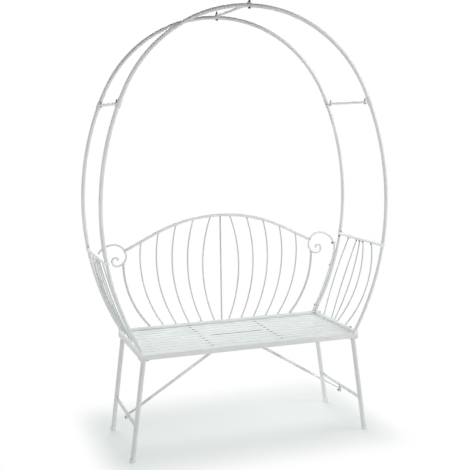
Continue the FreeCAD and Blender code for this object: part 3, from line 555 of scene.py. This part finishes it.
# Arch
# Eight bent tubes in a double hoop. Each side tube slips over a spigot on the arm bar, a socket with a
# lug joins it to its top tube at the shoulder, and the top tubes meet over an inner spigot.
for quarter in ("rear_right", "rear_left", "front_right", "front_left"):
    keep(frame_coat, "arch_" + quarter + "_side_tube", "arch_" + quarter + "_top_tube")
keep(frame_coat, "arch_spigots")
softened("arch_sockets", "arch_sockets_drawn", frame_coat, width=0.5 * MM)

# Ties
# Three round bars from the front hoop to the rear hoop, pressed flat and drilled at both ends. Two sit
# on the lugs of the shoulder sockets and one lies on top of the hoops. Their paler coat is painted light.
tie_painted_light_coat = coated("tie_powder_coat_painted_light", (0.93, 0.93, 0.925), (0.875, 0.875, 0.87), (0.74, 0.74, 0.735), 0.36)
for node in ("right_shoulder_tie", "left_shoulder_tie", "apex_tie"):
    softened(node, node + "_pressed", tie_painted_light_coat, width=0.5 * MM)

# Fasteners
# Hexagon bolts and nuts with chamfered corners and cut threads, and small round-headed screws with a
# socket. Most are zinc plated. Those at the top, at the left front shoulder, high on the back and on the
# bracket are black.
black_steel = coated("blackened_steel", (0.016, 0.017, 0.016), (0.008, 0.009, 0.008), (0.05, 0.05, 0.048),
                     0.5, 0.15)
zinc_steel = coated("zinc_plated_steel", (0.47, 0.48, 0.475), (0.36, 0.37, 0.365), (0.56, 0.56, 0.55),
                    0.42, 0.5, 0.6)


def thread(radius, start, end):
    """Rings of a cut thread between two heights."""
    pitch, point = 0.9 * MM, 0.3 * MM
    root, neck, tip = radius * 0.84, radius * 0.9, radius * 0.7
    rings, height = [(neck, start)], start + pitch / 2
    while height < end - pitch:
        rings += [(radius, height), (root, height + pitch / 2)]
        height += pitch
    return rings + [(neck, end - point), (tip, end)]


def hex_prism(flats, low, high):
    """Hexagon whose corners are chamfered at both ends."""
    radius = flats / math.sqrt(3)
    chamfer = radius * 0.16
    bpy.ops.mesh.primitive_cylinder_add(vertices=6, radius=radius, depth=high - low,
                                        location=(0, 0, (low + high) / 2))
    prism = bpy.context.object
    bpy.ops.object.transform_apply(location=True, rotation=True, scale=True)
    pick(prism, "VERT", lambda vertex: True)
    bpy.ops.mesh.bevel(offset=chamfer, affect="VERTICES", segments=1)
    bpy.ops.object.mode_set(mode="OBJECT")
    return prism


def hex_bolt(size, length):
    """Bolt that hangs from the origin: head below, shank up along its axis, thread at its end."""
    radius, flats = size["shank"] / 2, size["flats"]
    plain_end, thread_start = max(length * 0.35, 1 * MM), max(length * 0.36, 1.1 * MM)
    core = turned([(radius, -0.5 * MM), (radius, plain_end)] + thread(radius, thread_start, length), sides=20)
    face_radius = flats * 0.44
    washer = turned([(face_radius, -0.6 * MM), (face_radius, -0.02 * MM)], sides=24)
    return joined([hex_prism(flats, -size["head"], -0.4 * MM), core, washer])


def hex_nut(size):
    """Nut that stands on the origin, with the raised collar round its thread."""
    bore, height = size["shank"], size["nut"]
    outer, inner = bore * 0.72, bore * 0.56
    collar = turned([(outer, 0.0), (outer, height + 0.05 * MM), (inner, height - 0.4 * MM)], sides=24)
    return joined([hex_prism(size["flats"], 0.02 * MM, height), collar])


DOME_PROFILE = [(0.14, 0.5), (0.19, 0.52), (0.20, 1.0), (0.30, 1.0), (0.42, 0.86), (0.48, 0.55), (0.5, 0.2),
                (0.5, 0.0)]


def socket_screw(size, length):
    """Round-headed screw whose head is below the origin and whose shank runs up."""
    head, height, radius = size["flats"], size["head"], size["shank"] / 2
    dome = turned([(head * across, -height * down) for across, down in DOME_PROFILE], sides=24)
    plain_end, thread_start = length * 0.4, length * 0.42
    pin = turned([(radius, -0.5 * MM), (radius, plain_end)] + thread(radius, thread_start, length), sides=16)
    return joined([dome, pin])


def bolt_line(corners):
    """Outer face of a bolt's head, direction of its shank and its whole length."""
    end_slice, face_slice = 1.0 * MM, 0.2 * MM
    middle = corners.mean(axis=0)
    axis = np.linalg.svd(corners - middle, full_matrices=False)[2][0]
    along = (corners - middle) @ axis
    away = np.linalg.norm(corners - middle - np.outer(along, axis), axis=1)
    if away[along > along.max() - end_slice].mean() > away[along < along.min() + end_slice].mean():
        axis, along = -axis, -along
    head = corners[along < along.min() + face_slice].mean(axis=0)
    return Vector(head), Vector(axis), along.max() - along.min()


def stays_black(place):
    """Whether the fastener at this place is one of the black ones."""
    at_top = place.z > 1.7
    left_front_shoulder = place.z > 1.2 and place.x < 0 and place.y < 0
    high_on_back = 0.7 < place.z < 0.81
    # Under the bracket they are black so they show dark through the gaps, partly painting the shade under the
    # seat.
    under_bracket = abs(place.x) < 0.15 and place.z < 0.44
    return at_top or left_front_shoulder or high_on_back or under_bracket


def fastened(node, made):
    """Finishes a group of fasteners, each given as (place, piece), the black ones and the others apart."""
    for word, steel, dark in (("black", black_steel, True), ("zinc", zinc_steel, False)):
        pieces = [piece for place, piece in made if stays_black(place) == dark]
        if pieces:
            finish(joined(pieces), node + "_" + word, steel, "dark_steel", node)


M6 = {"shank": 6.0 * MM, "flats": 10.0 * MM, "head": 4.0 * MM, "nut": 5.0 * MM}
M5 = {"shank": 5.0 * MM, "flats": 8.0 * MM, "head": 3.5 * MM}
ROUND = {"shank": 5.0 * MM, "flats": 8.4 * MM, "head": 2.6 * MM}
bolt_axes = []
for node, size, shape in (("brace_bolts", M6, hex_bolt), ("arm_bolts", M6, hex_bolt),
                          ("arch_bolts", M6, hex_bolt), ("back_bolts", M5, hex_bolt),
                          ("leg_screws", ROUND, socket_screw), ("spigot_screws", ROUND, socket_screw)):
    made = []
    for corners in solids_of(node):
        face, axis, length = bolt_line(corners)
        bolt_axes.append((face, axis))
        sunk = size["head"] + (SCROLL_SLIMMER if node == "back_bolts" else 0)
        piece = shape(size, length - sunk)
        piece.data.transform(aimed(face + axis * sunk, axis))
        made.append((face, piece))
    fastened(node, made)
made = []
for corners in solids_of("hex_nuts"):
    middle = Vector(corners.min(axis=0) + corners.max(axis=0)) / 2
    face, axis = min(bolt_axes, key=lambda line: (middle - line[0]).cross(line[1]).length)
    place = face + axis * (middle - face).dot(axis)
    piece = hex_nut(M6)
    piece.data.transform(aimed(place - axis * M6["nut"] / 2, axis))
    made.append((place, piece))
fastened("hex_nuts", made)
# The spacers wear the ties' paler copy of the coat, painted light.
softened("back_spacers", "back_spacers_cut", tie_painted_light_coat, width=0.4 * MM)

# Studio
# A white floor with a wide soft painted shadow under the seat, over the real one, a bright horizon
# under a dark ceiling, a black card over the arch that the camera doesn't see, and soft lamps high at the
# right and behind and a weak one in front. The camera stands to the left, at the height of the arch's waist.
# Painted shadow: under the seat the white fades to a grey-green tint, mixed with the lit paint and its real
# shadow.
SHADOW = {"X": {"middle": 0.0, "full": 0.52, "gone": 0.70},
          "Y": {"middle": 0.06, "full": 0.12, "gone": 0.56}}
FLOOR_PAINT, SHADOW_TINT, SHADOW_LEVEL = (0.90, 0.93, 0.92), (0.75, 0.805, 0.785), 0.485


def worked_out(tree, operation, first, second=0.0):
    """The result of a sum on two values."""
    node = add(tree, "Math", {"operation": operation})
    feed(tree, node.inputs[0], first)
    feed(tree, node.inputs[1], second)
    return node.outputs["Value"]


def plainly_seen(tree):
    """One for rays from the camera or off a shiny surface, and nought for the rest."""
    eye = add(tree, "LightPath")
    return worked_out(tree, "MAXIMUM", eye.outputs["Is Camera Ray"], eye.outputs["Is Glossy Ray"])


bpy.ops.mesh.primitive_plane_add(size=16.0, location=(0, 0, 0))
floor = bpy.context.object
floor.name = "studio_floor"
ground = bpy.data.materials.new("studio_floor")
ground.use_nodes = True
tree = ground.node_tree
paint = tree.nodes["Principled BSDF"]
paint.inputs["Base Color"].default_value = (*FLOOR_PAINT, 1)
paint.inputs["Roughness"].default_value = 0.7
paint.inputs["Specular IOR Level"].default_value = 0.1
place = add(tree, "SeparateXYZ", Vector=add(tree, "TexCoord").outputs["Object"])
strips = []
for axis, reach in SHADOW.items():
    away = worked_out(tree, "ABSOLUTE", worked_out(tree, "SUBTRACT", place.outputs[axis], reach["middle"]))
    strip = add(tree, "MapRange", {"interpolation_type": "SMOOTHSTEP"}, Value=away, From_Min=reach["full"],
                From_Max=reach["gone"], To_Min=1.0, To_Max=0.0)
    strips.append(strip.outputs["Result"])
shadow = worked_out(tree, "MULTIPLY", *strips)
fade = add(tree, "MapRange", Value=shadow, To_Min=1.0, To_Max=SHADOW_LEVEL)
share = worked_out(tree, "MULTIPLY", plainly_seen(tree), fade.outputs["Result"])
tint = two_tone(tree, shadow, (0.0, (1.0, 1.0, 1.0)), (1.0, SHADOW_TINT))
white = add(tree, "Emission", Color=tint)
mix = add(tree, "MixShader", Fac=share)
feed(tree, mix.inputs[1], paint.outputs["BSDF"])
feed(tree, mix.inputs[2], white.outputs["Emission"])
feed(tree, tree.nodes["Material Output"].inputs["Surface"], mix.outputs["Shader"])
floor.data.materials.append(ground)

CARD_LOW, CARD_HIGH, CARD_HEIGHT = Vector((-1.6, -0.9)), Vector((0.5, 0.9)), 1.88
bpy.ops.mesh.primitive_plane_add(size=1.0, location=(*(CARD_LOW + CARD_HIGH) / 2, CARD_HEIGHT))
card = bpy.context.object
card.name = "studio_card"
card.scale = (*(CARD_HIGH - CARD_LOW), 1.0)
card.visible_camera = False
card.visible_glossy = False
black = bpy.data.materials.new("studio_card")
black.use_nodes = True
black.node_tree.nodes["Principled BSDF"].inputs["Base Color"].default_value = (0.01, 0.01, 0.01, 1)
card.data.materials.append(black)

world = bpy.data.worlds.new("studio")
bpy.context.scene.world = world
world.use_nodes = True
tree = world.node_tree
sky = tree.nodes["Background"]
sky.inputs["Color"].default_value = (1, 1, 1, 1)
rise = add(tree, "SeparateXYZ", Vector=add(tree, "TexCoord").outputs["Generated"])
dome = add(tree, "MapRange", Value=rise.outputs["Z"], From_Min=0.30, From_Max=0.62, To_Min=1.17, To_Max=0.08)
level = add(tree, "MapRange", Value=plainly_seen(tree), To_Min=dome.outputs["Result"], To_Max=1.0)
feed(tree, sky.inputs["Strength"], level.outputs["Result"])


def softbox(name, place, target, size, power):
    """A wide flat lamp that looks at a point."""
    bpy.ops.object.light_add(type="AREA", location=place)
    lamp = bpy.context.object
    lamp.name = name
    lamp.data.shape = "RECTANGLE"
    lamp.data.size, lamp.data.size_y = size
    lamp.data.energy = power
    lamp.rotation_euler = (Vector(target) - Vector(place)).to_track_quat("-Z", "Y").to_euler()


softbox("lamp_right", place=(2.9, -1.2, 2.7), target=(0, 0, 0.9), size=(2.0, 2.4), power=50.0)
softbox("lamp_behind", place=(0.2, 2.5, 3.1), target=(0, 0, 0.6), size=(2.0, 1.6), power=78.0)
softbox("lamp_front", place=(-0.4, -4.2, 1.9), target=(0, 0, 0.7), size=(2.4, 1.6), power=8.0)

yaw, pitch, roll = math.radians(19.12), math.radians(-7.68), math.radians(-0.81)
bpy.ops.object.camera_add(location=(-1.193, -3.437, 1.361))
camera = bpy.context.object
ahead = Vector((math.sin(yaw) * math.cos(pitch), math.cos(yaw) * math.cos(pitch), math.sin(pitch)))
beside = Vector((math.cos(yaw), -math.sin(yaw), 0))
up = beside.cross(ahead)
right = beside * math.cos(roll) + up * math.sin(roll)
top = up * math.cos(roll) - beside * math.sin(roll)
camera.rotation_euler = Matrix((right, top, -ahead)).transposed().to_euler()
camera.data.sensor_fit = "HORIZONTAL"
camera.data.sensor_width = 36.0
camera.data.lens = 65.24
camera.data.clip_end = 100.0
bpy.context.scene.camera = camera
bpy.context.scene.view_settings.view_transform = "Standard"
